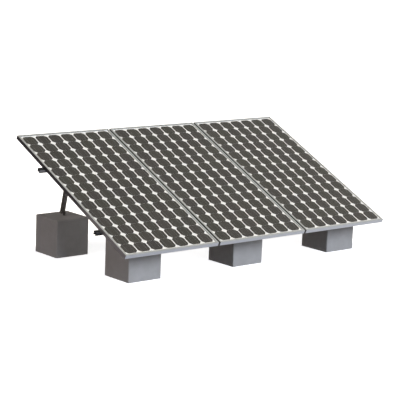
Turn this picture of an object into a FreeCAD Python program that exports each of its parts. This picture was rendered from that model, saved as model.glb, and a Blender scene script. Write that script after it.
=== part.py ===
import FreeCAD, Part
import os
import re

import Sketcher

# Ground rack for a row of three photovoltaic modules, in millimetres.
# Six cast footings carry three tilted legs. Each leg is a folded channel rafter,
# pinned to a strap in the front footing and propped behind by a square tube strut.
# Two extruded rails lie across the rafters, and the modules lie on the rails.
# X runs along the row, Y runs up the slope to the rear, Z is up.
# The origin is under the middle front footing, on the ground.

# Driving dimensions: every other size is worked out from these
driving = {
    # footings and the set-out of the legs
    "tilt": 25,
    "footing_size": 343,
    "footing_chamfer": 5,
    "leg_spacing": 1155,
    "leg_base": 1068,
    "pivot_height": 36,
    # rafters, folded from sheet
    "rafter_depth": 40,
    "rafter_wall": 3,
    "rafter_nose": 20,
    "rafter_tail": 40,
    "bend_radius": 2,
    # struts, square tube
    "strut_width": 36,
    "strut_wall": 2.5,
    "strut_radius": 3,
    "strut_head_along": 1055,
    "strut_end": 12,
    # straps, bent flat bar cast into the footings
    "strap_width": 32,
    "strap_thickness": 5,
    "strap_top": 14,
    "strap_corner": 8,
    "strap_depth": 110,
    "strap_hook": 60,
    # rails, extruded
    "rail_width": 40,
    "rail_height": 30,
    "rail_wall": 2,
    "rail_overhang": 45,
    "lower_rail_along": 25,
    "upper_rail_setback": 90,
    "slot_mouth": 9,
    "slot_width": 17.5,
    "slot_lip": 2.5,
    "slot_depth": 7,
    "foot_thickness": 3,
    "rail_bolt_hole": 5.5,
    "groove_height": 8,
    "groove_depth": 8,
    # modules
    "module_gap": 20,
    "front_overhang": 370,
    "cell_size": 125,
    "cell_corner": 25,
    "cell_thickness": 0.2,
    "cell_columns": 7,
    "cell_rows": 14,
    "column_gap": 11,
    "row_gap": 1,
    "side_margin": 27,
    "end_margin": 28.5,
    "frame_height": 35,
    "frame_wall": 1.8,
    "lip_width": 17.5,
    "chamber_width": 11.5,
    "flange_width": 30,
    "glass_thickness": 3.2,
    "encapsulant_film": 0.3,
    "backsheet_thickness": 0.4,
    "lip_clearance": 0.3,
    "edge_clearance": 1.2,
    # junction boxes on the backs of the modules
    "box_width": 120,
    "box_depth": 80,
    "box_base": 15,
    "box_lid": 6,
    "box_rim": 3,
    "box_corner": 8,
    "box_inset": 110,
    "gland_spacing": 70,
    "gland_flats": 13,
    "gland_length": 14,
    # pins, hexagon bolts with nuts
    "pin_radius": 5,
    "pin_flats": 16,
    "pin_nut_height": 8,
    "pin_head_height": 6.4,
    # fitting clearance, of the strut in the rafter and of the pins in their holes
    "fit_clearance": 0.3,
}

doc = FreeCAD.newDocument("mounting_rack")

sheet = doc.addObject("Spreadsheet::Sheet", "Sizes")
for row, (alias, value) in enumerate(driving.items(), start=1):
    sheet.set(f"A{row}", alias)
    sheet.set(f"B{row}", str(value))
    sheet.setAlias(f"B{row}", alias)
doc.recompute()

# Sizes that follow from the driving ones, as expressions
field_width = "(cell_columns * cell_size + (cell_columns - 1) * column_gap)"
field_length = "(cell_rows * cell_size + (cell_rows - 1) * row_gap)"
module_width = f"({field_width} + 2 * side_margin)"
module_length = f"({field_length} + 2 * end_margin)"
module_pitch = f"({module_width} + module_gap)"
rail_length = f"(3 * {module_width} + 2 * module_gap + 2 * rail_overhang)"
rail_seat = "(rafter_depth / 2)"
module_seat = f"({rail_seat} + rail_height)"
module_middle = f"({module_length} / 2 - front_overhang)"

# Heights inside a module, from the underside of its frame: the wafers lie in clear encapsulant,
# with a film of it above and below them
lip_under = "(frame_height - frame_wall)"
glass_under = f"({lip_under} - lip_clearance - glass_thickness)"
cell_under = f"({glass_under} - encapsulant_film - cell_thickness)"
ledge_top = f"({cell_under} - encapsulant_film - backsheet_thickness)"

# Across a leg, from its middle: the strut fits inside the rafter, and a strap lies against each
rafter_inner = "(strut_width / 2 + fit_clearance)"
rafter_outer = f"({rafter_inner} + rafter_wall)"
front_strap_face = rafter_outer
rear_strap_face = "(strut_width / 2)"
front_strap_outside = f"({front_strap_face} + strap_thickness)"
rear_strap_outside = f"({rear_strap_face} + strap_thickness)"

# The rafter runs past its front pin and past the strut's head, and the upper rail lies just below that head
rafter_length = "(rafter_nose + strut_head_along + rafter_tail)"
upper_rail_along = "(strut_head_along - upper_rail_setback)"

# The strut runs from the rear strap's pin to its pin in the rafter
strut_back = "(leg_base - strut_head_along * cos(tilt))"
strut_rise = "(strut_head_along * sin(tilt))"
strut_span = f"sqrt({strut_back}^2 + {strut_rise}^2)"
strut_lean = f"atan2({strut_back}; {strut_rise})"

pin_hole = "(pin_radius + fit_clearance)"

# The slope frame has its origin on the front pins, with Y up the slope and Z square to it
pin_level = "(footing_size + pivot_height)"
slope = f"placement(vector(0; 0; {pin_level}); rotation(vector(1; 0; 0); tilt))"

sides = {"left": -1, "middle": 0, "right": 1}
rails = {"lower": "lower_rail_along", "upper": upper_rail_along}


def cells(text):
    # Points each sheet alias in an expression at the sheet
    return re.sub(r"[a-z_]+", lambda word: "Sizes." + word[0] if word[0] in driving else word[0], text)


def size_of(text):
    # The present value of an expression
    return float(sheet.evalExpression(cells(text)))


def place(item, across, along, above, turn="0", frame=None):
    # Puts a piece at a point, turned about Z, in the level frame or in the slope frame
    spot = f"placement(vector({across}; {along}; {above}); rotation(vector(0; 0; 1); {turn}))"
    item.setExpression("Placement", cells(f"{frame} * {spot}" if frame else spot))


def new_body(label):
    body = doc.addObject("PartDesign::Body", label)
    body.Label = label
    return body


def new_sketch(body, plane, lift="0"):
    # A sketch on one of the body's own planes, lifted off it by an expression
    sketch = body.newObject("Sketcher::SketchObject", f"{body.Label}_sketch")
    support = next(item for item in body.Origin.OriginFeatures if item.Role == plane)
    sketch.AttachmentSupport = (support, [""])
    sketch.MapMode = "FlatFace"
    sketch.setExpression("AttachmentOffset.Base.z", cells(lift))
    return sketch


def bind(sketch, kind, geometry, point, text):
    # Fixes one coordinate of a point to an expression
    index = sketch.addConstraint(Sketcher.Constraint(kind, -1, 1, geometry, point, size_of(text)))
    sketch.setExpression(f"Constraints[{index}]", cells(text))


def polygon(sketch, corners):
    # A closed outline of straight lines, each corner bound to a pair of expressions
    first = len(sketch.Geometry)
    spots = [FreeCAD.Vector(size_of(across), size_of(up), 0) for across, up in corners]
    count = len(corners)
    for index in range(count):
        sketch.addGeometry(Part.LineSegment(spots[index], spots[(index + 1) % count]))
    for index in range(count):
        follower = first + (index + 1) % count
        sketch.addConstraint(Sketcher.Constraint("Coincident", first + index, 2, follower, 1))
    for index, (across, up) in enumerate(corners):
        bind(sketch, "DistanceX", first + index, 1, across)
        bind(sketch, "DistanceY", first + index, 1, up)


def rectangle(sketch, left, bottom, right, top):
    polygon(sketch, [(left, bottom), (right, bottom), (right, top), (left, top)])


def circle(sketch, across, up, radius):
    centre = FreeCAD.Vector(size_of(across), size_of(up), 0)
    upward = FreeCAD.Vector(0, 0, 1)
    index = sketch.addGeometry(Part.Circle(centre, upward, size_of(radius)))
    bind(sketch, "DistanceX", index, 3, across)
    bind(sketch, "DistanceY", index, 3, up)
    limit = sketch.addConstraint(Sketcher.Constraint("Radius", index, size_of(radius)))
    sketch.setExpression(f"Constraints[{limit}]", cells(radius))


def pad(body, sketch, length, both_ways=False, backwards=False):
    feature = body.newObject("PartDesign::Pad", f"{body.Label}_pad")
    feature.Profile = sketch
    feature.setExpression("Length", cells(length))
    feature.SideType = "Symmetric" if both_ways else "One side"
    feature.Reversed = backwards
    return feature


def pocket(body, sketch, depth=None, both_ways=False):
    # With no depth, the cut goes through the whole body both ways
    feature = body.newObject("PartDesign::Pocket", f"{body.Label}_pocket")
    feature.Profile = sketch
    if depth:
        feature.setExpression("Length", cells(depth))
        feature.SideType = "Symmetric" if both_ways else "One side"
    else:
        feature.Type = "ThroughAll"
        feature.SideType = "Symmetric"
    return feature


def dress(body, kind, edges_from, wanted, size):
    # A fillet or a chamfer along each edge of a feature that the test accepts
    doc.recompute()
    names = [
        f"Edge{number}"
        for number, edge in enumerate(edges_from.Shape.Edges, start=1)
        if wanted(edge)
    ]
    feature = body.newObject(f"PartDesign::{kind}", f"{body.Label}_{kind.lower()}")
    feature.Base = (edges_from, names)
    feature.setExpression("Radius" if kind == "Fillet" else "Size", cells(size))
    return feature


def runs_along(edge, axis):
    ends = [vertex.Point for vertex in edge.Vertexes]
    if len(ends) != 2:
        return False
    step = ends[1] - ends[0]
    return abs(abs(step[axis]) - step.Length) < 1e-6 and step.Length > 0


def sits_at(edge, axis, text):
    # True where both ends of an edge lie at a coordinate given by an expression
    return all(abs(vertex.Point[axis] - size_of(text)) < 1e-4 for vertex in edge.Vertexes)


# Strap: flat bar with an eye for the pin above the footing and a hooked end cast into it

def strap_outline(face, top):
    # Seen along the bar's width, with the footing's top at nought
    outside = f"({face} + strap_thickness)"
    return [
        (face, top),
        (face, "-strap_depth"),
        (f"{face} + strap_hook", "-strap_depth"),
        (f"{face} + strap_hook", "-strap_depth + strap_thickness"),
        (outside, "-strap_depth + strap_thickness"),
        (outside, top),
    ]


def make_strap(label, across, along, face):
    body = new_body(label)
    top = "(pivot_height + strap_top)"
    side = new_sketch(body, "XZ_Plane")
    polygon(side, strap_outline(face, top))
    pad(body, side, "strap_width", both_ways=True)
    corners = new_sketch(body, "YZ_Plane")
    for sign in ("-", ""):
        polygon(corners, [
            (f"{sign}(strap_width / 2 - strap_corner)", top),
            (f"{sign}strap_width / 2", top),
            (f"{sign}strap_width / 2", f"{top} - strap_corner"),
        ])
    pocket(body, corners)
    eye = new_sketch(body, "YZ_Plane")
    circle(eye, "0", "pivot_height", pin_hole)
    pocket(body, eye)
    place(body, across, along, "footing_size")


# Cast footing: a cube with its arrises taken off, cast round the strap

def make_footing(label, across, along, face):
    body = new_body(label)
    half = "footing_size / 2"
    plan = new_sketch(body, "XY_Plane", "-footing_size")
    rectangle(plan, f"-{half}", f"-{half}", half, half)
    block = pad(body, plan, "footing_size")
    dress(body, "Chamfer", block, lambda edge: not sits_at(edge, 2, "-footing_size"), "footing_chamfer")
    doc.recompute()
    cast = new_sketch(body, "XZ_Plane")
    polygon(cast, strap_outline(face, "0"))
    pocket(body, cast, "strap_width", both_ways=True)
    place(body, across, along, "footing_size")


# Rafter: a channel folded with its open side down, bolted by one wall in front and by both to the strut

def make_rafter(label, across):
    body = new_body(label)
    top = "(rafter_depth / 2)"
    under = f"({top} - rafter_wall)"
    section = new_sketch(body, "XZ_Plane")
    polygon(section, [
        (f"-{rafter_outer}", f"-{top}"),
        (f"-{rafter_inner}", f"-{top}"),
        (f"-{rafter_inner}", under),
        (rafter_inner, under),
        (rafter_inner, f"-{top}"),
        (rafter_outer, f"-{top}"),
        (rafter_outer, top),
        (f"-{rafter_outer}", top),
    ])
    channel = pad(body, section, rafter_length, backwards=True)
    outside = dress(
        body, "Fillet", channel,
        lambda edge: runs_along(edge, 1) and sits_at(edge, 2, top),
        "rafter_wall + bend_radius",
    )
    dress(
        body, "Fillet", outside,
        lambda edge: runs_along(edge, 1) and sits_at(edge, 2, under)
        and (sits_at(edge, 0, rafter_inner) or sits_at(edge, 0, f"-{rafter_inner}")),
        "bend_radius",
    )
    doc.recompute()
    front_hole = new_sketch(body, "YZ_Plane", rafter_outer)
    circle(front_hole, "rafter_nose", "0", pin_hole)
    pocket(body, front_hole, "2 * rafter_wall")
    head_holes = new_sketch(body, "YZ_Plane")
    circle(head_holes, "rafter_nose + strut_head_along", "0", pin_hole)
    pocket(body, head_holes)
    # A bolt comes up through the web under each rail
    rail_holes = new_sketch(body, "XY_Plane")
    for along in rails.values():
        circle(rail_holes, "0", f"rafter_nose + {along}", "rail_bolt_hole")
    pocket(body, rail_holes)
    place(body, across, "-rafter_nose", "0", frame=slope)


# Strut: a square tube that leans forward from the rear strap into the rafter

def make_strut(label, across):
    body = new_body(label)
    half = "strut_width / 2"
    bore = "(strut_width / 2 - strut_wall)"
    section = new_sketch(body, "XY_Plane", "-strut_end")
    rectangle(section, f"-{half}", f"-{half}", half, half)
    rectangle(section, f"-{bore}", f"-{bore}", bore, bore)
    tube = pad(body, section, f"{strut_span} + 2 * strut_end")
    dress(
        body, "Fillet", tube,
        lambda edge: runs_along(edge, 2) and (sits_at(edge, 0, half) or sits_at(edge, 0, f"-{half}")),
        "strut_radius",
    )
    doc.recompute()
    pin_holes = new_sketch(body, "YZ_Plane")
    circle(pin_holes, "0", "0", pin_hole)
    circle(pin_holes, "0", strut_span, pin_hole)
    pocket(body, pin_holes)
    spot = f"vector({across}; leg_base; {pin_level})"
    lean = f"rotation(vector(1; 0; 0); {strut_lean})"
    body.setExpression("Placement", cells(f"placement({spot}; {lean})"))


# Rail: an extrusion with a bolt slot above and below, a groove in each side and a closed chamber

def make_rail(label, along):
    body = new_body(label)
    half = "rail_width / 2"
    neck = "(rail_width / 2 - groove_depth)"
    mouth = "slot_mouth / 2"
    cavity = "slot_width / 2"
    shoulder = "(foot_thickness + groove_height)"
    right = [
        (mouth, "0"),
        (half, "0"),
        (half, "foot_thickness"),
        (neck, "foot_thickness"),
        (neck, shoulder),
        (half, shoulder),
        (half, "rail_height"),
        (mouth, "rail_height"),
        (mouth, "rail_height - slot_lip"),
        (cavity, "rail_height - slot_lip"),
        (cavity, "rail_height - slot_lip - slot_depth"),
    ]
    below = [
        (cavity, "slot_lip + slot_depth"),
        (cavity, "slot_lip"),
        (mouth, "slot_lip"),
    ]
    left = [(f"-{across}", up) for across, up in reversed(right)]
    below_left = [(f"-{across}", up) for across, up in reversed(below)]
    section = new_sketch(body, "YZ_Plane")
    polygon(section, right + left + below_left + below)
    # The closed chamber runs under the upper slot and up on both sides of it
    side_wall = f"({half} - rail_wall)"
    slot_wall = f"({cavity} + rail_wall)"
    chamber_floor = f"({shoulder} + rail_wall)"
    chamber_top = "(rail_height - rail_wall)"
    slot_floor = "(rail_height - slot_lip - slot_depth - rail_wall)"
    polygon(section, [
        (f"-{side_wall}", chamber_floor),
        (side_wall, chamber_floor),
        (side_wall, chamber_top),
        (slot_wall, chamber_top),
        (slot_wall, slot_floor),
        (f"-{slot_wall}", slot_floor),
        (f"-{slot_wall}", chamber_top),
        (f"-{side_wall}", chamber_top),
    ])
    pad(body, section, rail_length, both_ways=True)
    place(body, "0", along, rail_seat, frame=slope)


# Module frame: one hollow extrusion, mitred at both ends, with a wide lip over the glass and a flange below

def make_frame_member(label, length, across, along, turn):
    body = new_body(label)
    section = new_sketch(body, "YZ_Plane")
    polygon(section, [
        ("0", "0"),
        ("flange_width", "0"),
        ("flange_width", "frame_wall"),
        ("chamber_width", "frame_wall"),
        ("chamber_width", ledge_top),
        ("frame_wall", ledge_top),
        ("frame_wall", lip_under),
        ("lip_width", lip_under),
        ("lip_width", "frame_height"),
        ("0", "frame_height"),
    ])
    rectangle(section, "frame_wall", "frame_wall", "chamber_width - frame_wall", f"{ledge_top} - frame_wall")
    pad(body, section, length, both_ways=True)
    # Each mitre is cut at 45 degrees from the outer corner, by a triangle that passes the bar by one wall
    mitres = new_sketch(body, "XY_Plane")
    for sign in ("-", ""):
        polygon(mitres, [
            (f"{sign}({length} / 2 + frame_wall)", "-frame_wall"),
            (f"{sign}({length} / 2 + frame_wall)", "flange_width + frame_wall"),
            (f"{sign}({length} / 2 - flange_width - frame_wall)", "flange_width + frame_wall"),
        ])
    pocket(body, mitres)
    place(body, across, along, module_seat, turn, frame=slope)


# Laminate: glass above, a white backsheet below and the wafers between them, held in the frame's groove

def make_layer(label, across, under, thickness):
    layer = doc.addObject("Part::Box", label)
    layer.Label = label
    inset = "(frame_wall + edge_clearance)"
    width = f"({module_width} - 2 * {inset})"
    length = f"({module_length} - 2 * {inset})"
    layer.setExpression("Length", cells(width))
    layer.setExpression("Width", cells(length))
    layer.setExpression("Height", cells(thickness))
    place(
        layer,
        f"{across} - {width} / 2",
        f"{module_middle} - {length} / 2",
        f"{module_seat} + {under}",
        frame=slope,
    )


def make_cells(label, across):
    # One wafer with its four corners cut, repeated over the columns and rows
    body = new_body(label)
    column_pitch = "(cell_size + column_gap)"
    row_pitch = "(cell_size + row_gap)"
    first_across = f"(-(cell_columns - 1) / 2 * {column_pitch})"
    first_along = f"(-(cell_rows - 1) / 2 * {row_pitch})"
    edge = "cell_size / 2"
    cut = "(cell_size / 2 - cell_corner)"
    wafer = new_sketch(body, "XY_Plane")
    polygon(wafer, [
        (f"{first_across} + {across_sign}{across_reach}", f"{first_along} + {along_sign}{along_reach}")
        for across_sign, across_reach, along_sign, along_reach in (
            ("-", cut, "-", edge),
            ("", cut, "-", edge),
            ("", edge, "-", cut),
            ("", edge, "", cut),
            ("", cut, "", edge),
            ("-", cut, "", edge),
            ("-", edge, "", cut),
            ("-", edge, "-", cut),
        )
    ])
    slice_pad = pad(body, wafer, "cell_thickness")
    field = body.newObject("PartDesign::LinearPattern", f"{label}_field")
    field.Originals = [slice_pad]
    axes = {item.Role: item for item in body.Origin.OriginFeatures}
    field.Direction = (axes["X_Axis"], [""])
    field.Direction2 = (axes["Y_Axis"], [""])
    field.setExpression("Length", cells(f"(cell_columns - 1) * {column_pitch}"))
    field.setExpression("Length2", cells(f"(cell_rows - 1) * {row_pitch}"))
    field.setExpression("Occurrences", cells("cell_columns"))
    field.setExpression("Occurrences2", cells("cell_rows"))
    body.Tip = field
    place(body, across, module_middle, f"{module_seat} + {cell_under}", frame=slope)


# Junction box: a moulded base and lid on the backsheet, with a hexagonal gland for each lead

def cut_rectangle(sketch, half_width, half_depth, corner):
    # A rectangle about the origin with its corners cut off
    polygon(sketch, [
        (f"-({half_width} - {corner})", f"-({half_depth})"),
        (f"{half_width} - {corner}", f"-({half_depth})"),
        (half_width, f"-({half_depth} - {corner})"),
        (half_width, f"{half_depth} - {corner}"),
        (f"{half_width} - {corner}", half_depth),
        (f"-({half_width} - {corner})", half_depth),
        (f"-({half_width})", f"{half_depth} - {corner}"),
        (f"-({half_width})", f"-({half_depth} - {corner})"),
    ])


def make_junction_box(label, across):
    body = new_body(label)
    base = new_sketch(body, "XY_Plane")
    cut_rectangle(base, "box_width / 2", "box_depth / 2", "box_corner")
    pad(body, base, "box_base", backwards=True)
    lid = new_sketch(body, "XY_Plane", "-box_base")
    cut_rectangle(lid, "box_width / 2 - box_rim", "box_depth / 2 - box_rim", "(box_corner - box_rim / 2)")
    pad(body, lid, "box_lid", backwards=True)
    glands = new_sketch(body, "XZ_Plane", "box_depth / 2")
    for sign in ("-", ""):
        polygon(glands, [
            (
                f"{sign}gland_spacing / 2 + gland_flats / 2 / cos(30) * cos({60 * step})",
                f"-box_base / 2 + gland_flats / 2 / cos(30) * sin({60 * step})",
            )
            for step in range(6)
        ])
    pad(body, glands, "gland_length")
    along = f"{module_length} - front_overhang - box_inset"
    place(body, across, along, f"{module_seat} + {ledge_top}", frame=slope)


# Pins: a hexagon bolt and its nut, made as one solid, lying across a leg

def primitive(kind, label, sizes, lift, turn="0"):
    item = doc.addObject(kind, label)
    for name, text in sizes.items():
        item.setExpression(name, cells(text))
    spot = f"placement(vector(0; 0; {lift}); rotation(vector(0; 0; 1); {turn}))"
    item.setExpression("Placement", cells(spot))
    return item


def make_pin(label, outer_face, grip, spot):
    # The head bears on the outer face on the right of the leg, and the nut closes the grip
    across_corners = "pin_flats / 2 / cos(30)"
    head = {"Circumradius": across_corners, "Height": "pin_head_height"}
    shank = {"Radius": "pin_radius", "Height": grip}
    nut = {"Circumradius": across_corners, "Height": "pin_nut_height"}
    pin = doc.addObject("Part::MultiFuse", label)
    pin.Shapes = [
        primitive("Part::Prism", f"{label}_head", head, "-pin_head_height", "30"),
        primitive("Part::Cylinder", f"{label}_shank", shank, "0"),
        primitive("Part::Prism", f"{label}_nut", nut, grip, "30"),
    ]
    start = f"placement(vector({outer_face}; 0; 0); rotation(vector(0; 1; 0); -90))"
    pin.setExpression("Placement", cells(f"{spot} * {start}"))
    return pin


def make_group(label, pieces):
    group = doc.addObject("Part::Compound", label)
    group.Label = label
    group.Links = pieces


nodes = []

pins = {"front_pins": [], "strut_head_pins": [], "strut_foot_pins": []}
for side, step in sides.items():
    leg = f"({step} * leg_spacing)"
    make_footing(f"front_footing_{side}", leg, "0", front_strap_face)
    make_footing(f"rear_footing_{side}", leg, "leg_base", rear_strap_face)
    make_strap(f"front_strap_{side}", leg, "0", front_strap_face)
    make_strap(f"rear_strap_{side}", leg, "leg_base", rear_strap_face)
    make_rafter(f"rafter_{side}", leg)
    make_strut(f"strut_{side}", leg)
    nodes += [
        f"{piece}_{side}"
        for piece in ("front_footing", "rear_footing", "front_strap", "rear_strap", "rafter", "strut")
    ]
    level = "rotation(vector(1; 0; 0); 0)"
    head_spot = f"{slope} * placement(vector(0; strut_head_along; 0); {level})"
    foot_spot = f"placement(vector(0; leg_base; {pin_level}); {level})"
    for kind, outer_face, grip, spot in (
        ("front_pins", front_strap_outside, "strap_thickness + rafter_wall", slope),
        ("strut_head_pins", rafter_outer, f"2 * {rafter_outer}", head_spot),
        ("strut_foot_pins", rear_strap_outside, "strap_thickness + strut_width", foot_spot),
    ):
        pins[kind].append(make_pin(f"{kind}_{side}", f"{leg} + {outer_face}", f"({grip})", spot))

for kind, pieces in pins.items():
    make_group(kind, pieces)
    nodes.append(kind)

for name, along in rails.items():
    make_rail(f"{name}_rail", along)
    nodes.append(f"{name}_rail")

for side, step in sides.items():
    middle = f"({step} * {module_pitch})"
    left_edge = f"({middle} - {module_width} / 2)"
    right_edge = f"({middle} + {module_width} / 2)"
    upper_edge = f"({module_length} - front_overhang)"
    module = f"{side}_module"
    make_frame_member(f"{module}_lower_frame", module_width, middle, "-front_overhang", "0")
    make_frame_member(f"{module}_upper_frame", module_width, middle, upper_edge, "180")
    make_frame_member(f"{module}_left_frame", module_length, left_edge, module_middle, "-90")
    make_frame_member(f"{module}_right_frame", module_length, right_edge, module_middle, "90")
    make_layer(f"{module}_glass", middle, glass_under, "glass_thickness")
    make_layer(f"{module}_backsheet", middle, ledge_top, "backsheet_thickness")
    make_cells(f"{module}_cells", middle)
    make_junction_box(f"{module}_junction_box", middle)
    nodes += [
        f"{module}_{piece}"
        for piece in (
            "lower_frame", "upper_frame", "left_frame", "right_frame",
            "glass", "backsheet", "cells", "junction_box",
        )
    ]

doc.recompute()

for item in doc.Objects:
    if "Invalid" in item.State or "Error" in item.State:
        raise RuntimeError(f"{item.Label} is in state {item.State}")

os.makedirs("parts", exist_ok=True)
for label in nodes:
    shape = doc.getObjectsByLabel(label)[0].Shape
    if shape.isNull() or not shape.isValid():
        raise RuntimeError(f"{label} has no valid shape")
    shape.exportStep(f"parts/{label}.step")
    print(f"{label}: {len(shape.Solids)} solids, {shape.Volume / 1000:.1f} cm3")
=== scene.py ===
import math

import bmesh
import bpy
from mathutils import Matrix, Vector


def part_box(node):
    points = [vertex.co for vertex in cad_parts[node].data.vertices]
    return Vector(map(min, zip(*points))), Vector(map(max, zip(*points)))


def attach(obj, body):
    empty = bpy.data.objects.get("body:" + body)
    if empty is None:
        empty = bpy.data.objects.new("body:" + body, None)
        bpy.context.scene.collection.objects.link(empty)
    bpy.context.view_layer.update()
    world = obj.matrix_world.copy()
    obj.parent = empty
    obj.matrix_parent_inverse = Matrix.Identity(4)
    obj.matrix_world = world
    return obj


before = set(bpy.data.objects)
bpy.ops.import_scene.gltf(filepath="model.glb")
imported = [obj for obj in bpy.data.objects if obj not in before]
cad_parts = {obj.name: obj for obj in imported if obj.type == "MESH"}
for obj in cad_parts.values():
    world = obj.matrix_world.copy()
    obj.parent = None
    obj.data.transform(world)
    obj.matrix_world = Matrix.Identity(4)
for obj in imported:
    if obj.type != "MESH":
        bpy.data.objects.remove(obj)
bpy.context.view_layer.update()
print("frame loaded,", len(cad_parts), "nodes")

sides = ("left", "middle", "right")
mm = 0.001

# Set-out of the rack, with the ground plan and heights read from the frame
setOut = {
    "tilt": math.radians(25),
    "pivotHeight": 36 * mm,      # pins above the footings' tops
    "railHeight": 30 * mm,
    "rafterHalfDepth": 20 * mm,
    "lowerRailAlong": 25 * mm,   # up the slope from the front pins
    "upperRailAlong": 965 * mm,
    "strutHeadAlong": 1055 * mm,
    "moduleMiddleAlong": 540 * mm,
}


def middleOf(node):
    low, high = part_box(node)
    return (low + high) / 2


legAcross = {side: middleOf(f"rafter_{side}").x for side in sides}
moduleAcross = {side: middleOf(f"{side}_module_glass").x for side in sides}
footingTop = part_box("front_footing_middle")[1].z
legBase = middleOf("rear_footing_middle").y
pinLevel = footingTop + setOut["pivotHeight"]
slopeOrigin = Vector((0, 0, pinLevel))
slopeFrame = Matrix.Translation(slopeOrigin) @ Matrix.Rotation(setOut["tilt"], 4, "X")
railSeat = setOut["rafterHalfDepth"]
moduleSeat = railSeat + setOut["railHeight"]


def onSlope(across, along, above):
    # A point from its place across the row, up the slope and off the slope
    return slopeFrame @ Vector((across, along, above))


def fromHex(text):
    # An sRGB colour such as "8a8d8f" as linear red, green, blue and one
    channels = [int(text[start:start + 2], 16) / 255 for start in (0, 2, 4)]
    linear = [c / 12.92 if c <= 0.04045 else ((c + 0.055) / 1.055) ** 2.4 for c in channels]
    return (*linear, 1.0)


def addNode(tree, kind, values=None, links=None, stops=None, **settings):
    # One node with its settings, its unlinked values, the sockets that feed it and a colour ramp's stops
    node = tree.nodes.new(kind)
    for name, value in settings.items():
        setattr(node, name, value)
    for socket, value in (values or {}).items():
        node.inputs[socket].default_value = value
    for socket, source in (links or {}).items():
        tree.links.new(source, node.inputs[socket])
    if stops:
        for element, (level, tone) in zip(node.color_ramp.elements, zip(*stops)):
            element.position = level
            element.color = fromHex(tone)
    return node


def newMaterial(name, roughness=0.5, metallic=0.0, colour=None):
    # A material with one shader. A roughness that is left out here is linked later
    material = bpy.data.materials.new(name)
    material.use_nodes = True
    tree = material.node_tree
    tree.nodes.clear()
    shader = addNode(tree, "ShaderNodeBsdfPrincipled", {"Roughness": roughness, "Metallic": metallic})
    if colour:
        shader.inputs["Base Color"].default_value = fromHex(colour)
    addNode(tree, "ShaderNodeOutputMaterial", links={"Surface": shader.outputs[0]})
    return material, tree, shader


# Levels of a factor between which a ramp or an edge changes
wholeSpan = (0.0, 1.0)
middleSpan = (0.3, 0.7)
narrowSpan = (0.35, 0.65)
# How deep the finest relief is, such as grain, stipple and die lines
fineDepth = 0.1 * mm


# Precast concrete, cast in smooth steel moulds: matt and slightly mottled, with small air holes painted
# darker inside as painted shade, and painted shade on every upward face
concreteLook = {
    "tones": ("a9a6a3", "b1aeac"),
    # painted shade on the upward faces
    "shadedTopTone": "9c9895",
    # painted shade inside the air holes
    "poreShadeTone": "6f6b68",
    "mottleSize": 90 * mm,
    "sandSize": 2.5 * mm,
    "poreSpacing": 24 * mm,
    "poreRadius": 1.3 * mm,
    "poreShare": 0.45,
    "poreEdge": (0.6, 1.4),     # where a hole's rim starts and ends, in radii
    "poreDepth": 3.0,           # in heights of the sand's grain
    "mottleSpan": (0.35, 0.68),
    "roughness": 0.85,
    "relief": 0.35,
    "reliefDepth": 0.4 * mm,
}


def makeConcrete():
    look = concreteLook
    material, tree, shader = newMaterial("precastConcrete", look["roughness"])
    place = addNode(tree, "ShaderNodeTexCoord").outputs["Object"]
    mottle = addNode(
        tree, "ShaderNodeTexNoise",
        {"Scale": 1 / look["mottleSize"], "Detail": 5.0, "Roughness": 0.62}, {"Vector": place},
    )
    tone = addNode(
        tree, "ShaderNodeValToRGB", links={"Fac": mottle.outputs["Fac"]},
        stops=(look["mottleSpan"], look["tones"]),
    )
    pores = addNode(tree, "ShaderNodeTexVoronoi", {"Scale": 1 / look["poreSpacing"]}, {"Vector": place})
    rimStart, rimEnd = [share * look["poreRadius"] / look["poreSpacing"] for share in look["poreEdge"]]
    hole = addNode(
        tree, "ShaderNodeMapRange",
        {"From Min": rimStart, "From Max": rimEnd, "To Min": 1.0, "To Max": 0.0},
        {"Value": pores.outputs["Distance"]}, interpolation_type="SMOOTHSTEP",
    )
    chance = addNode(tree, "ShaderNodeSeparateColor", links={"Color": pores.outputs["Color"]})
    isOpen = addNode(
        tree, "ShaderNodeMath", {1: look["poreShare"]}, {0: chance.outputs["Red"]}, operation="LESS_THAN",
    )
    pore = addNode(
        tree, "ShaderNodeMath", links={0: hole.outputs[0], 1: isOpen.outputs[0]}, operation="MULTIPLY",
    )
    normal = addNode(tree, "ShaderNodeNewGeometry").outputs["Normal"]
    facing = addNode(tree, "ShaderNodeSeparateXYZ", links={"Vector": normal})
    # Upward faces take the darker top tone: painted shade
    upward = addNode(tree, "ShaderNodeMath", {1: 0.0}, {0: facing.outputs["Z"]}, operation="MAXIMUM")
    shadedTop = addNode(
        tree, "ShaderNodeMix", {"B": fromHex(look["shadedTopTone"])},
        {"Factor": upward.outputs[0], "A": tone.outputs["Color"]}, data_type="RGBA",
    )
    # The air holes are painted darker: painted shade inside them
    surface = addNode(
        tree, "ShaderNodeMix", {"B": fromHex(look["poreShadeTone"])},
        {"Factor": pore.outputs[0], "A": shadedTop.outputs["Result"]}, data_type="RGBA",
    )
    tree.links.new(surface.outputs["Result"], shader.inputs["Base Color"])
    sand = addNode(
        tree, "ShaderNodeTexNoise", {"Scale": 1 / look["sandSize"], "Detail": 3.0}, {"Vector": place},
    )
    height = addNode(
        tree, "ShaderNodeMath", {1: -look["poreDepth"]},
        {0: pore.outputs[0], 2: sand.outputs["Fac"]}, operation="MULTIPLY_ADD",
    )
    bump = addNode(
        tree, "ShaderNodeBump", {"Strength": look["relief"], "Distance": look["reliefDepth"]},
        {"Height": height.outputs[0]},
    )
    tree.links.new(bump.outputs[0], shader.inputs["Normal"])
    return material


# Hot-dip galvanised steel, weathered: dull grey zinc whose crystals show as patches of tone
galvanisedLook = {
    "tones": ("74716d", "93908b"),
    "crystalSize": 9 * mm,
    "grainSize": 1.2 * mm,
    "roughness": (0.42, 0.6),
    "relief": 0.2,
}


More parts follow.
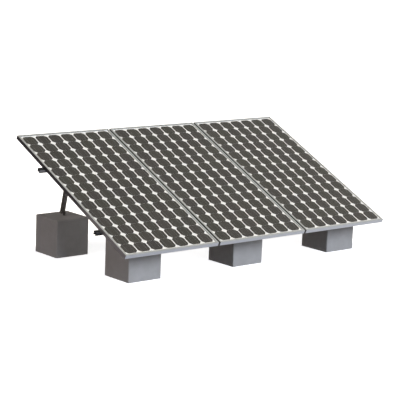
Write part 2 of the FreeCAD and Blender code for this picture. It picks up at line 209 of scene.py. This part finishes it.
def makeGalvanised():
    look = galvanisedLook
    material, tree, shader = newMaterial("hotDipGalvanisedSteel", metallic=1.0)
    place = addNode(tree, "ShaderNodeTexCoord").outputs["Object"]
    crystals = addNode(tree, "ShaderNodeTexVoronoi", {"Scale": 1 / look["crystalSize"]}, {"Vector": place})
    pick = addNode(tree, "ShaderNodeSeparateColor", links={"Color": crystals.outputs["Color"]})
    tone = addNode(
        tree, "ShaderNodeValToRGB", links={"Fac": pick.outputs["Red"]},
        stops=(wholeSpan, look["tones"]),
    )
    tree.links.new(tone.outputs["Color"], shader.inputs["Base Color"])
    low, high = look["roughness"]
    rough = addNode(
        tree, "ShaderNodeMapRange", {"To Min": low, "To Max": high}, {"Value": pick.outputs["Green"]},
    )
    tree.links.new(rough.outputs[0], shader.inputs["Roughness"])
    grain = addNode(
        tree, "ShaderNodeTexNoise", {"Scale": 1 / look["grainSize"], "Detail": 2.0}, {"Vector": place},
    )
    bump = addNode(
        tree, "ShaderNodeBump", {"Strength": look["relief"], "Distance": fineDepth},
        {"Height": grain.outputs["Fac"]},
    )
    tree.links.new(bump.outputs[0], shader.inputs["Normal"])
    return material


# Zinc plated and passivated bolts: clean and satin, a little uneven from the bath
zincLook = {
    "tones": ("a9a99f", "c6c6bf"),
    "patchSize": 6 * mm,
    "roughness": 0.34,
    "relief": 0.1,
}


def makeZincPlated():
    look = zincLook
    material, tree, shader = newMaterial("zincPlatedSteel", look["roughness"], metallic=1.0)
    place = addNode(tree, "ShaderNodeTexCoord").outputs["Object"]
    patches = addNode(
        tree, "ShaderNodeTexNoise", {"Scale": 1 / look["patchSize"], "Detail": 3.0}, {"Vector": place},
    )
    tone = addNode(
        tree, "ShaderNodeValToRGB", links={"Fac": patches.outputs["Fac"]},
        stops=(narrowSpan, look["tones"]),
    )
    tree.links.new(tone.outputs["Color"], shader.inputs["Base Color"])
    bump = addNode(
        tree, "ShaderNodeBump", {"Strength": look["relief"], "Distance": fineDepth},
        {"Height": patches.outputs["Fac"]},
    )
    tree.links.new(bump.outputs[0], shader.inputs["Normal"])
    return material


# Extruded aluminium: the die leaves fine lines along the bar. Mill finish is dull, while anodising evens
# the lines out to a pale satin sheen. The lower rail's mill finish is a darker copy, a painted shade
extrusionLooks = {
    "millFinishAluminium": {
        "tones": ("9c9d9f", "aeafb1"), "roughness": (0.38, 0.52), "relief": 0.25,
    },
    # A darker copy of the mill finish, for the lower rail: painted shade
    "shadedMillFinishAluminium": {
        "tones": ("606162", "707172"), "roughness": (0.45, 0.6), "relief": 0.25,
    },
    "anodisedAluminium": {
        "tones": ("e1e6eb", "eef3f6"), "roughness": (0.33, 0.42), "relief": 0.1,
    },
}
dieLine = {"pitch": 1.5 * mm, "length": 400 * mm}   # coarser than real die lines, so that they show
alongRow = Vector((1, 0, 0))
offSlope = slopeFrame.to_3x3() @ Vector((0, 0, 1))
# Painted shade and painted reflection on frame walls and rail tops: the way that its faces look, how a
# maths node counts them (both ways, or that way alone), and its tones low and high on the slope
paintedShades = {
    # Frame walls in the gaps between modules, darker: painted shade
    "gapWalls": {"towards": alongRow, "counted": "ABSOLUTE", "tones": ("8a8b8b", "8a8b8b")},
    # Outer frame walls: painted reflection, lighter low on the slope, and painted shade, darker high up
    "outerWalls": {"towards": alongRow, "counted": "ABSOLUTE", "tones": ("dcdddd", "7a7b7b")},
    # Rails' upward faces, dark: painted shade
    "railTops": {"towards": offSlope, "counted": "MAXIMUM", "tones": ("444546", "444546")},
}
paintedShadeRise = (200 * mm, 450 * mm)   # up the slope, from the low tone to the high one


def makeExtruded(kind, name, upSlope, paintedShade):
    # The lines run across the row, or up the slope
    look = extrusionLooks[kind]
    material, tree, shader = newMaterial(name, metallic=1.0)
    along = 1 / dieLine["length"]
    fine = 1 / dieLine["pitch"]
    place = addNode(
        tree, "ShaderNodeMapping",
        {"Location": slopeOrigin, "Rotation": (setOut["tilt"], 0, 0)},
        {"Vector": addNode(tree, "ShaderNodeTexCoord").outputs["Object"]}, vector_type="TEXTURE",
    )
    stretch = addNode(
        tree, "ShaderNodeVectorMath", {1: (fine, along, fine) if upSlope else (along, fine, fine)},
        {0: place.outputs[0]}, operation="MULTIPLY",
    )
    lines = addNode(
        tree, "ShaderNodeTexNoise", {"Scale": 1.0, "Detail": 3.0}, {"Vector": stretch.outputs[0]},
    )
    tone = addNode(
        tree, "ShaderNodeValToRGB", links={"Fac": lines.outputs["Fac"]},
        stops=(narrowSpan, look["tones"]),
    )
    colour = tone.outputs["Color"]
    # Faces that look the given way take the painted shade and painted reflection tones, graded up the slope
    if paintedShade:
        shadeMark = paintedShades[paintedShade]
        facing = addNode(
            tree, "ShaderNodeVectorMath", {1: shadeMark["towards"]},
            {0: addNode(tree, "ShaderNodeNewGeometry").outputs["Normal"]}, operation="DOT_PRODUCT",
        )
        share = addNode(
            tree, "ShaderNodeMath", {1: 0.0}, {0: facing.outputs["Value"]}, operation=shadeMark["counted"],
        )
        spot = addNode(tree, "ShaderNodeSeparateXYZ", links={"Vector": place.outputs[0]})
        rise = addNode(
            tree, "ShaderNodeMapRange", {"From Min": paintedShadeRise[0], "From Max": paintedShadeRise[1]},
            {"Value": spot.outputs["Y"]},
        )
        shadeMarkTone = addNode(
            tree, "ShaderNodeValToRGB", links={"Fac": rise.outputs[0]}, stops=(wholeSpan, shadeMark["tones"]),
        )
        withShade = addNode(
            tree, "ShaderNodeMix",
            links={"Factor": share.outputs[0], "A": colour, "B": shadeMarkTone.outputs["Color"]},
            data_type="RGBA",
        )
        colour = withShade.outputs["Result"]
    tree.links.new(colour, shader.inputs["Base Color"])
    low, high = look["roughness"]
    rough = addNode(
        tree, "ShaderNodeMapRange", {"To Min": low, "To Max": high}, {"Value": lines.outputs["Fac"]},
    )
    tree.links.new(rough.outputs[0], shader.inputs["Roughness"])
    bump = addNode(
        tree, "ShaderNodeBump", {"Strength": look["relief"], "Distance": fineDepth},
        {"Height": lines.outputs["Fac"]},
    )
    tree.links.new(bump.outputs[0], shader.inputs["Normal"])
    return material


# Monocrystalline silicon wafers under their anti-reflection coat: nearly black, each a shade of its
# own, crossed by fine silver fingers that are drawn a little wider than the real 0.1 mm
wafer = {
    "columnPitch": 136 * mm,
    "rowPitch": 126 * mm,
    "tones": ("2a2926", "33312d"),
    "oliveTone": "31312a",
    "plumTone": "312c2d",
    "fingerTone": "4c4c4a",
    "fingerPitch": 2.5 * mm,
    "fingerWidth": 0.25 * mm,
    "hueShare": 0.35,
    "roughness": 0.45,
    "specular": 0.2,
}


def makeSilicon(name, across):
    look = wafer
    material, tree, shader = newMaterial(name, look["roughness"])
    shader.inputs["Specular IOR Level"].default_value = look["specular"]
    place = addNode(
        tree, "ShaderNodeMapping",
        {"Location": onSlope(across, setOut["moduleMiddleAlong"], 0), "Rotation": (setOut["tilt"], 0, 0)},
        {"Vector": addNode(tree, "ShaderNodeTexCoord").outputs["Object"]}, vector_type="TEXTURE",
    )
    # Columns are centred on the module, and rows meet at its middle
    halfColumn = (look["columnPitch"] / 2, 0, 0)
    shifted = addNode(
        tree, "ShaderNodeVectorMath", {1: halfColumn}, {0: place.outputs[0]}, operation="ADD",
    )
    counted = addNode(
        tree, "ShaderNodeVectorMath", {1: (1 / look["columnPitch"], 1 / look["rowPitch"], 0)},
        {0: shifted.outputs[0]}, operation="MULTIPLY",
    )
    index = addNode(tree, "ShaderNodeVectorMath", links={0: counted.outputs[0]}, operation="FLOOR")
    # The module's place across the row is the seed, so that no two modules share a draw
    draw = addNode(
        tree, "ShaderNodeTexWhiteNoise", {"W": across}, {"Vector": index.outputs[0]}, noise_dimensions="4D",
    )
    picks = addNode(tree, "ShaderNodeSeparateColor", links={"Color": draw.outputs["Color"]})
    tone = addNode(
        tree, "ShaderNodeValToRGB", links={"Fac": picks.outputs["Red"]},
        stops=(wholeSpan, look["tones"]),
    )
    hue = addNode(
        tree, "ShaderNodeValToRGB", links={"Fac": picks.outputs["Green"]},
        stops=(middleSpan, (look["oliveTone"], look["plumTone"])),
    )
    body = addNode(
        tree, "ShaderNodeMix", {"Factor": look["hueShare"]},
        {"A": tone.outputs["Color"], "B": hue.outputs["Color"]}, data_type="RGBA",
    )
    along = addNode(tree, "ShaderNodeSeparateXYZ", links={"Vector": place.outputs[0]})
    wave = addNode(
        tree, "ShaderNodeMath", {1: look["fingerPitch"] / 2}, {0: along.outputs["Y"]}, operation="PINGPONG",
    )
    edgeStart, edgeEnd = [share * look["fingerWidth"] for share in middleSpan]
    finger = addNode(
        tree, "ShaderNodeMapRange",
        {"From Min": edgeStart, "From Max": edgeEnd, "To Min": 1.0, "To Max": 0.0},
        {"Value": wave.outputs[0]}, interpolation_type="SMOOTHSTEP",
    )
    surface = addNode(
        tree, "ShaderNodeMix", {"B": fromHex(look["fingerTone"])},
        {"Factor": finger.outputs[0], "A": body.outputs["Result"]}, data_type="RGBA",
    )
    tree.links.new(surface.outputs["Result"], shader.inputs["Base Color"])
    return material


# Tempered low-iron glass with an anti-reflection coat, which lowers its IOR: clear, with a faint stipple
# that softens the sheen
glassLook = {
    "tint": "ffffff",
    "coatedIor": 1.36,
    "roughness": 0.16,
    "stippleSize": 1.6 * mm,
    "relief": 0.08,
}


def makeGlass():
    look = glassLook
    material = bpy.data.materials.new("temperedSolarGlass")
    material.use_nodes = True
    tree = material.node_tree
    tree.nodes.clear()
    place = addNode(tree, "ShaderNodeTexCoord").outputs["Object"]
    stipple = addNode(tree, "ShaderNodeTexNoise", {"Scale": 1 / look["stippleSize"]}, {"Vector": place})
    bump = addNode(
        tree, "ShaderNodeBump", {"Strength": look["relief"], "Distance": fineDepth},
        {"Height": stipple.outputs["Fac"]},
    )
    clear = addNode(tree, "ShaderNodeBsdfTransparent", {"Color": fromHex(look["tint"])})
    gloss = addNode(
        tree, "ShaderNodeBsdfAnisotropic", {"Roughness": look["roughness"]}, {"Normal": bump.outputs[0]},
    )
    fresnel = addNode(tree, "ShaderNodeFresnel", {"IOR": look["coatedIor"]})
    # Only the outside reflects, so that a ray inside the pane passes straight through
    outside = addNode(
        tree, "ShaderNodeMath", {0: 1.0},
        {1: addNode(tree, "ShaderNodeNewGeometry").outputs["Backfacing"]}, operation="SUBTRACT",
    )
    share = addNode(
        tree, "ShaderNodeMath", links={0: fresnel.outputs[0], 1: outside.outputs[0]}, operation="MULTIPLY",
    )
    mix = addNode(
        tree, "ShaderNodeMixShader",
        links={0: share.outputs[0], 1: clear.outputs[0], 2: gloss.outputs[0]},
    )
    addNode(tree, "ShaderNodeOutputMaterial", links={"Surface": mix.outputs[0]})
    return material


# White polymer backsheet: a laminated film with a soft sheen and a fine embossed grain, drawn coarser than
# the real one. Its front, which is seen through the encapsulant, looks greyer than its bare back
backsheetLook = {
    "tones": ("eeeeec", "f8f8f6"),
    "throughGlass": "d0d0ce",
    "grainSize": 3 * mm,
    "roughness": 0.5,
    "relief": 0.12,
}


def makeBacksheet():
    look = backsheetLook
    material, tree, shader = newMaterial("whitePolymerFilm", look["roughness"])
    place = addNode(tree, "ShaderNodeTexCoord").outputs["Object"]
    grain = addNode(
        tree, "ShaderNodeTexNoise", {"Scale": 1 / look["grainSize"], "Detail": 2.0}, {"Vector": place},
    )
    tone = addNode(
        tree, "ShaderNodeValToRGB", links={"Fac": grain.outputs["Fac"]},
        stops=(middleSpan, look["tones"]),
    )
    normal = addNode(tree, "ShaderNodeNewGeometry").outputs["Normal"]
    facing = addNode(tree, "ShaderNodeSeparateXYZ", links={"Vector": normal})
    front = addNode(tree, "ShaderNodeMath", {1: 0.0}, {0: facing.outputs["Z"]}, operation="GREATER_THAN")
    surface = addNode(
        tree, "ShaderNodeMix", {"B": fromHex(look["throughGlass"])},
        {"Factor": front.outputs[0], "A": tone.outputs["Color"]}, data_type="RGBA",
    )
    tree.links.new(surface.outputs["Result"], shader.inputs["Base Color"])
    bump = addNode(
        tree, "ShaderNodeBump", {"Strength": look["relief"], "Distance": fineDepth},
        {"Height": grain.outputs["Fac"]},
    )
    tree.links.new(bump.outputs[0], shader.inputs["Normal"])
    return material


# Injection moulded black plastic from a spark-eroded mould: matt with a fine grain, drawn coarse enough to
# show
mouldedLook = {
    "tones": ("19191a", "242425"),
    "grainSize": 0.9 * mm,
    "roughness": 0.55,
    "relief": 0.3,
}


def makeMoulded():
    look = mouldedLook
    material, tree, shader = newMaterial("mouldedBlackPlastic", look["roughness"])
    place = addNode(tree, "ShaderNodeTexCoord").outputs["Object"]
    grain = addNode(tree, "ShaderNodeTexNoise", {"Scale": 1 / look["grainSize"]}, {"Vector": place})
    tone = addNode(
        tree, "ShaderNodeValToRGB", links={"Fac": grain.outputs["Fac"]},
        stops=(middleSpan, look["tones"]),
    )
    tree.links.new(tone.outputs["Color"], shader.inputs["Base Color"])
    bump = addNode(
        tree, "ShaderNodeBump", {"Strength": look["relief"], "Distance": fineDepth},
        {"Height": grain.outputs["Fac"]},
    )
    tree.links.new(bump.outputs[0], shader.inputs["Normal"])
    return material


# Tinned copper ribbon: soft silver, dulled by the encapsulant over it
ribbonLook = {
    "tones": ("6b6c6d", "7d7e80"),
    "streakSize": 16.667 * mm,
    "roughness": 0.5,
    "metallic": 0.6,
}


def makeRibbonMetal():
    look = ribbonLook
    material, tree, shader = newMaterial("tinnedCopperRibbon", look["roughness"], look["metallic"])
    place = addNode(tree, "ShaderNodeTexCoord").outputs["Object"]
    streaks = addNode(
        tree, "ShaderNodeTexNoise", {"Scale": 1 / look["streakSize"], "Detail": 2.0}, {"Vector": place},
    )
    tone = addNode(
        tree, "ShaderNodeValToRGB", links={"Fac": streaks.outputs["Fac"]},
        stops=(middleSpan, look["tones"]),
    )
    tree.links.new(tone.outputs["Color"], shader.inputs["Base Color"])
    return material


def dressNode(node, material):
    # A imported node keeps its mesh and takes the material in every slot
    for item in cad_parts[node].material_slots:
        item.link = "OBJECT"
        item.material = material


concrete = makeConcrete()
galvanised = makeGalvanised()
zincPlated = makeZincPlated()
railMetals = {
    "upper_rail": makeExtruded("millFinishAluminium", "millFinishAluminium", False, "railTops"),
    # The lower rail takes the darker copy of the mill finish: painted shade
    "lower_rail": makeExtruded("shadedMillFinishAluminium", "millAluminiumPaintedShade", False, "railTops"),
}
crossFrame = makeExtruded("anodisedAluminium", "anodisedAluminiumAcross", False, None)
outerFrame = makeExtruded("anodisedAluminium", "anodisedAluminiumUpSlope", True, "outerWalls")
innerFrame = makeExtruded("anodisedAluminium", "anodisedAluminiumInGap", True, "gapWalls")
glass = makeGlass()
backsheet = makeBacksheet()
moulded = makeMoulded()
ribbonMetal = makeRibbonMetal()

for side in sides:
    for row in ("front", "rear"):
        dressNode(f"{row}_footing_{side}", concrete)
        dressNode(f"{row}_strap_{side}", galvanised)
    dressNode(f"rafter_{side}", galvanised)
    dressNode(f"strut_{side}", galvanised)
    module = f"{side}_module"
    dressNode(f"{module}_lower_frame", crossFrame)
    dressNode(f"{module}_upper_frame", crossFrame)
    dressNode(f"{module}_left_frame", outerFrame if side == "left" else innerFrame)
    dressNode(f"{module}_right_frame", outerFrame if side == "right" else innerFrame)
    dressNode(f"{module}_glass", glass)
    dressNode(f"{module}_backsheet", backsheet)
    dressNode(f"{module}_cells", makeSilicon(f"monoSilicon{side.capitalize()}", moduleAcross[side]))
    dressNode(f"{module}_junction_box", moulded)
for node in ("front_pins", "strut_head_pins", "strut_foot_pins"):
    dressNode(node, zincPlated)
for node, metal in railMetals.items():
    dressNode(node, metal)
print("materials on", len(bpy.data.materials), "finishes")


def growNodes(name, points, tree, sizes):
    # A mesh of bare points run through a tree of geometry nodes and kept as a plain mesh
    seed = bpy.data.meshes.new(name)
    seed.from_pydata(points, [], [])
    item = bpy.data.objects.new(name, seed)
    bpy.context.scene.collection.objects.link(item)
    modifier = item.modifiers.new("grow", "NODES")
    modifier.node_group = tree
    for socket in tree.interface.items_tree:
        if socket.name in sizes:
            modifier[socket.identifier] = sizes[socket.name]
    evaluated = item.evaluated_get(bpy.context.evaluated_depsgraph_get())
    item.data = bpy.data.meshes.new_from_object(evaluated)
    item.data.name = name
    item.modifiers.clear()
    bpy.data.meshes.remove(seed)
    return item


def newTree(name, inputs):
    # A tree that takes points and the named sizes, and gives a mesh
    tree = bpy.data.node_groups.new(name, "GeometryNodeTree")
    tree.interface.new_socket("Points", in_out="INPUT", socket_type="NodeSocketGeometry")
    for label, kind in inputs.items():
        tree.interface.new_socket(label, in_out="INPUT", socket_type=f"NodeSocket{kind}")
    tree.interface.new_socket("Mesh", in_out="OUTPUT", socket_type="NodeSocketGeometry")
    return tree, tree.nodes.new("NodeGroupInput").outputs


def finishTree(tree, given, pattern):
    # Copies the pattern to every point, turned as asked, and gives the copies their metal
    copies = addNode(
        tree, "GeometryNodeInstanceOnPoints",
        links={"Points": given["Points"], "Instance": pattern, "Rotation": given["Turn"]},
    )
    real = addNode(tree, "GeometryNodeRealizeInstances", links={"Geometry": copies.outputs[0]})
    metal = addNode(
        tree, "GeometryNodeSetMaterial", links={"Geometry": real.outputs[0], "Material": given["Finish"]},
    )
    output = tree.nodes.new("NodeGroupOutput")
    tree.links.new(metal.outputs[0], output.inputs[0])


# Hexagon bolt head or nut: a washer on the seat, a hexagon with its corners taken off and a thread end,
# which is no more than a thin disc on a head
hexagonForm = {
    "chamferShare": 0.18,   # of the height
    "crownShare": 0.86,     # of the hexagon's radius, at the top of the chamfer
    "washerSides": 20,
    "threadSides": 14,
}


def makeFastenerTree():
    tree, given = newTree("hexagonFastener", {
        "Turn": "Rotation", "Across Flats": "Float", "Height": "Float", "Washer Radius": "Float",
        "Washer Thickness": "Float", "Thread Radius": "Float", "Thread End": "Float", "Finish": "Material",
    })
    # The hexagon's radius, from its width across the flats
    corner = addNode(
        tree, "ShaderNodeMath", {1: 0.5 / math.cos(math.radians(30))}, {0: given["Across Flats"]},
        operation="MULTIPLY",
    ).outputs[0]
    crownCorner = addNode(
        tree, "ShaderNodeMath", {1: hexagonForm["crownShare"]}, {0: corner}, operation="MULTIPLY",
    ).outputs[0]
    chamfer = addNode(
        tree, "ShaderNodeMath", {1: hexagonForm["chamferShare"]}, {0: given["Height"]},
        operation="MULTIPLY",
    ).outputs[0]
    flank = addNode(
        tree, "ShaderNodeMath", links={0: given["Height"], 1: chamfer}, operation="SUBTRACT",
    ).outputs[0]
    washer = addNode(
        tree, "GeometryNodeMeshCylinder", {"Vertices": hexagonForm["washerSides"]},
        {"Radius": given["Washer Radius"], "Depth": given["Washer Thickness"]},
    )
    hexagon = addNode(
        tree, "GeometryNodeMeshCylinder", {"Vertices": 6}, {"Radius": corner, "Depth": flank},
    )
    crown = addNode(
        tree, "GeometryNodeMeshCone", {"Vertices": 6},
        {"Radius Bottom": corner, "Radius Top": crownCorner, "Depth": chamfer},
    )
    thread = addNode(
        tree, "GeometryNodeMeshCylinder", {"Vertices": hexagonForm["threadSides"]},
        {"Radius": given["Thread Radius"], "Depth": given["Thread End"]},
    )
    # From the seat upwards: each part's mesh, its height, and the share of it under the mesh's own origin
    stack = (
        (washer, given["Washer Thickness"], 0.5),
        (hexagon, flank, 0.5),
        (crown, chamfer, 0.0),
        (thread, given["Thread End"], 0.5),
    )
    level = addNode(tree, "ShaderNodeMath", {0: 0.0, 1: 0.0}, operation="ADD").outputs[0]   # the seat
    join = addNode(tree, "GeometryNodeJoinGeometry")
    for part, height, under in stack:
        lift = addNode(
            tree, "ShaderNodeMath", {1: under}, {0: height, 2: level}, operation="MULTIPLY_ADD",
        )
        offset = addNode(tree, "ShaderNodeCombineXYZ", links={"Z": lift.outputs[0]})
        lifted = addNode(
            tree, "GeometryNodeTransform",
            links={"Geometry": part.outputs["Mesh"], "Translation": offset.outputs[0]},
        )
        tree.links.new(lifted.outputs[0], join.inputs[0])
        level = addNode(tree, "ShaderNodeMath", links={0: level, 1: height}, operation="ADD").outputs[0]
    finishTree(tree, given, join.outputs[0])
    return tree


fastenerTree = makeFastenerTree()
slopeTurn = (setOut["tilt"], 0, 0)

# M8 flange nuts on the module frames' flanges, on bolts whose heads sit in the rails' slots, in mm
moduleNut = {
    "acrossFlats": 13, "height": 7, "flangeRadius": 8.8, "flange": 1.4, "thread": 4, "threadEnd": 5,
}
moduleNutInset = 20.75 * mm   # from the module's side, on the middle of the flange's free part
flangeThickness = 1.8 * mm

# M10 bolts up through the rafters into the rails' lower slots, in mm
railBolt = {
    "acrossFlats": 16, "height": 6.4, "flangeRadius": 10, "flange": 2, "thread": 5, "threadEnd": 0.1,
}
rafterWall = 3 * mm


def placeFasteners(name, points, turn, sizes):
    item = growNodes(name, points, fastenerTree, {
        "Turn": turn,
        "Across Flats": sizes["acrossFlats"] * mm,
        "Height": sizes["height"] * mm,
        "Washer Radius": sizes["flangeRadius"] * mm,
        "Washer Thickness": sizes["flange"] * mm,
        "Thread Radius": sizes["thread"] * mm,
        "Thread End": sizes["threadEnd"] * mm,
        "Finish": zincPlated,
    })
    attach(item, "root")


railsAlong = (setOut["lowerRailAlong"], setOut["upperRailAlong"])
moduleLow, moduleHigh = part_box("middle_module_lower_frame")
nutReach = (moduleHigh.x - moduleLow.x) / 2 - moduleNutInset
placeFasteners(
    "module_nuts",
    [
        onSlope(moduleAcross[side] + reach, along, moduleSeat + flangeThickness)
        for side in sides for reach in (-nutReach, nutReach) for along in railsAlong
    ],
    slopeTurn, moduleNut,
)
placeFasteners(
    "rail_bolts",
    [
        onSlope(legAcross[side], along, railSeat - rafterWall)
        for side in sides for along in railsAlong
    ],
    (setOut["tilt"] + math.pi, 0, 0), railBolt,
)

# Washers, rounded corners and thread ends on the pins' plain hexagons, which they cover closely, in mm
pinHead = {
    "acrossFlats": 16.15, "height": 5.95, "flangeRadius": 10.5, "flange": 1.6,
    "thread": 5, "threadEnd": 0.1,
}
pinNut = {
    "acrossFlats": 16.15, "height": 7.9, "flangeRadius": 10.5, "flange": 1.6,
    "thread": 5, "threadEnd": 4,
}
plainHeight = {"head": 6.4 * mm, "nut": 8 * mm}


def turnTo(axis, corner):
    # The turn that lays a fastener's axis one way and one corner of its hexagon another
    return tuple(Matrix((corner, axis.cross(corner), axis)).transposed().to_euler())


slopeWay = slopeFrame.to_3x3() @ Vector((0, 1, 0))
pinPlaces = {
    "front_pins": (onSlope(0, 0, 0), slopeWay),
    "strut_head_pins": (onSlope(0, setOut["strutHeadAlong"], 0), slopeWay),
    "strut_foot_pins": (Vector((0, legBase, pinLevel)), Vector((0, 1, 0))),
}
for kind, (place, corner) in pinPlaces.items():
    low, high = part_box(kind)
    headSeat = high.x - legAcross["right"] - plainHeight["head"]
    nutSeat = low.x - legAcross["left"] + plainHeight["nut"]
    for part, seat, way, sizes in (("heads", headSeat, 1, pinHead), ("nuts", nutSeat, -1, pinNut)):
        placeFasteners(
            f"{kind}_{part}",
            [place + Vector((legAcross[side] + seat, 0, 0)) for side in sides],
            turnTo(Vector((way, 0, 0)), corner), sizes,
        )
print("fasteners placed")

# Interconnect ribbons, two to a string of wafers
ribbon = {
    "width": 1.6 * mm,
    "thickness": 0.12 * mm,
    "spacing": 62 * mm,
    "length": 1756 * mm,
    "columns": 7,
    "height": 29.46 * mm,   # above the frames' undersides, on the wafers' faces
}


def makeRibbonTree():
    tree, given = newTree("interconnectRibbon", {
        "Turn": "Rotation", "Section": "Vector", "Finish": "Material",
    })
    strip = addNode(tree, "GeometryNodeMeshCube", links={"Size": given["Section"]})
    finishTree(tree, given, strip.outputs["Mesh"])
    return tree


ribbonTree = makeRibbonTree()
ribbonSection = (ribbon["width"], ribbon["length"], ribbon["thickness"])
for side in sides:
    starts = [
        onSlope(
            moduleAcross[side] + (column - (ribbon["columns"] - 1) / 2) * wafer["columnPitch"] + offset,
            setOut["moduleMiddleAlong"],
            moduleSeat + ribbon["height"],
        )
        for column in range(ribbon["columns"])
        for offset in (-ribbon["spacing"] / 2, ribbon["spacing"] / 2)
    ]
    strips = growNodes(
        f"{side}_module_ribbons", starts, ribbonTree,
        {"Turn": slopeTurn, "Section": ribbonSection, "Finish": ribbonMetal},
    )
    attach(strips, "root")
print("ribbons laid")

# Studio: a plain pale floor, a large lamp in front, weaker ones on the left, overhead and low behind, and a
# soft surround
studio = {
    "floorRadius": 60.0,
    "floorSides": 96,
    "floorTone": "f4f4f4",
    "floorGlow": 0.76,
    "floorRoughness": 0.9,
    "backdrop": "ffffff",
}
# Each lamp: the way to it, its strength, how many degrees wide it looks, and its colour
lamps = {
    "front_lamp": {"towards": (0.0, -0.87, 0.49), "strength": 2.81, "width": 38, "colour": "e6f0ff"},
    "left_lamp": {"towards": (-0.85, -0.1, 0.5), "strength": 0.82, "width": 25, "colour": "fff7f6"},
    "overhead_lamp": {"towards": (0.0, -0.12, 0.99), "strength": 2.5, "width": 12, "colour": "fff5e2"},
    "rear_lamp": {"towards": (0.13, 0.98, -0.1), "strength": 1.8, "width": 10, "colour": "ffffff"},
}
# Each lobe of the surround: where it is centred, how bright, how narrow, and its colour
surround = (
    {"towards": (1.0, 0.0, 0.1), "strength": 0.96, "power": 3.0, "colour": "fffaef"},
    {"towards": (0.63, -0.34, -0.7), "strength": 0.42, "power": 4.0, "colour": "eeefff"},
    {"towards": (-0.7, 0.7, 0.0), "strength": 0.165, "power": 3.0, "colour": "ffeff2"},
)


def makeFloor():
    mesh = bpy.data.meshes.new("studio_floor")
    shape = bmesh.new()
    bmesh.ops.create_circle(
        shape, cap_ends=True, segments=studio["floorSides"], radius=studio["floorRadius"],
    )
    shape.to_mesh(mesh)
    shape.free()
    floor = bpy.data.objects.new("studio_floor", mesh)
    bpy.context.scene.collection.objects.link(floor)
    material, tree, shader = newMaterial(
        "studioPaper", studio["floorRoughness"], colour=studio["floorTone"],
    )
    shader.inputs["Emission Color"].default_value = fromHex(studio["backdrop"])
    shader.inputs["Emission Strength"].default_value = studio["floorGlow"]
    mesh.materials.append(material)
    # The surround gives the light from below, so the floor itself throws none back
    floor.visible_diffuse = False
    floor.visible_glossy = False
    floor.visible_transmission = False
    floor.visible_shadow = False


def makeSurround():
    world = bpy.data.worlds.new("studioSurround")
    bpy.context.scene.world = world
    world.use_nodes = True
    tree = world.node_tree
    tree.nodes.clear()
    direction = addNode(tree, "ShaderNodeTexCoord").outputs["Generated"]
    total = addNode(tree, "ShaderNodeCombineXYZ").outputs[0]   # black, to which each lobe adds
    for lobe in surround:
        facing = addNode(
            tree, "ShaderNodeVectorMath", {1: Vector(lobe["towards"]).normalized()}, {0: direction},
            operation="DOT_PRODUCT",
        )
        near = addNode(
            tree, "ShaderNodeMath", {1: 0.0}, {0: facing.outputs["Value"]}, operation="MAXIMUM",
        )
        fall = addNode(tree, "ShaderNodeMath", {1: lobe["power"]}, {0: near.outputs[0]}, operation="POWER")
        tint = [value * lobe["strength"] for value in fromHex(lobe["colour"])[:3]]
        part = addNode(
            tree, "ShaderNodeVectorMath", {0: tint}, {1: fall.outputs[0]}, operation="MULTIPLY",
        )
        total = addNode(
            tree, "ShaderNodeVectorMath", links={0: total, 1: part.outputs[0]}, operation="ADD",
        ).outputs[0]
    light = addNode(tree, "ShaderNodeBackground", links={"Color": total})
    # The camera sees the white backdrop, and everything else the lobes
    backdrop = addNode(tree, "ShaderNodeBackground", {"Color": fromHex(studio["backdrop"])})
    path = addNode(tree, "ShaderNodeLightPath")
    mix = addNode(
        tree, "ShaderNodeMixShader",
        links={0: path.outputs["Is Camera Ray"], 1: light.outputs[0], 2: backdrop.outputs[0]},
    )
    addNode(tree, "ShaderNodeOutputWorld", links={"Surface": mix.outputs[0]})


def makeLamp(name, look):
    lamp = bpy.data.lights.new(name, "SUN")
    lamp.energy = look["strength"]
    lamp.angle = math.radians(look["width"])
    lamp.color = fromHex(look["colour"])[:3]
    item = bpy.data.objects.new(name, lamp)
    item.rotation_mode = "QUATERNION"
    item.rotation_quaternion = Vector(look["towards"]).to_track_quat("Z", "Y")
    bpy.context.scene.collection.objects.link(item)


makeFloor()
makeSurround()
for name, look in lamps.items():
    makeLamp(name, look)
bpy.context.scene.view_settings.view_transform = "Standard"

# The photograph's camera, solved from the corners of the modules and footings
view = {
    "place": Vector((-8.71972, -9.89263, 3.03790)),
    "azimuth": math.radians(39.937),
    "elevation": math.radians(10.697),
    "roll": math.radians(2.154),
    "lens": 134.955,
    "sensor": 36.0,
    "reach": 500.0,
}


def makeCamera():
    flat = math.cos(view["elevation"])
    forward = Vector((
        math.sin(view["azimuth"]) * flat, math.cos(view["azimuth"]) * flat, -math.sin(view["elevation"]),
    ))
    across = forward.cross(Vector((0, 0, 1))).normalized()
    upward = across.cross(forward)
    turn = Matrix.Rotation(-view["roll"], 3, forward)
    across = turn @ across
    upward = turn @ upward
    lens = bpy.data.cameras.new("photo_camera")
    lens.lens = view["lens"]
    lens.sensor_width = view["sensor"]
    lens.clip_end = view["reach"]
    item = bpy.data.objects.new("photo_camera", lens)
    aim = Matrix((across, upward, -forward)).transposed().to_4x4()
    item.matrix_world = Matrix.Translation(view["place"]) @ aim
    bpy.context.scene.collection.objects.link(item)
    bpy.context.scene.camera = item


makeCamera()
print("studio set")
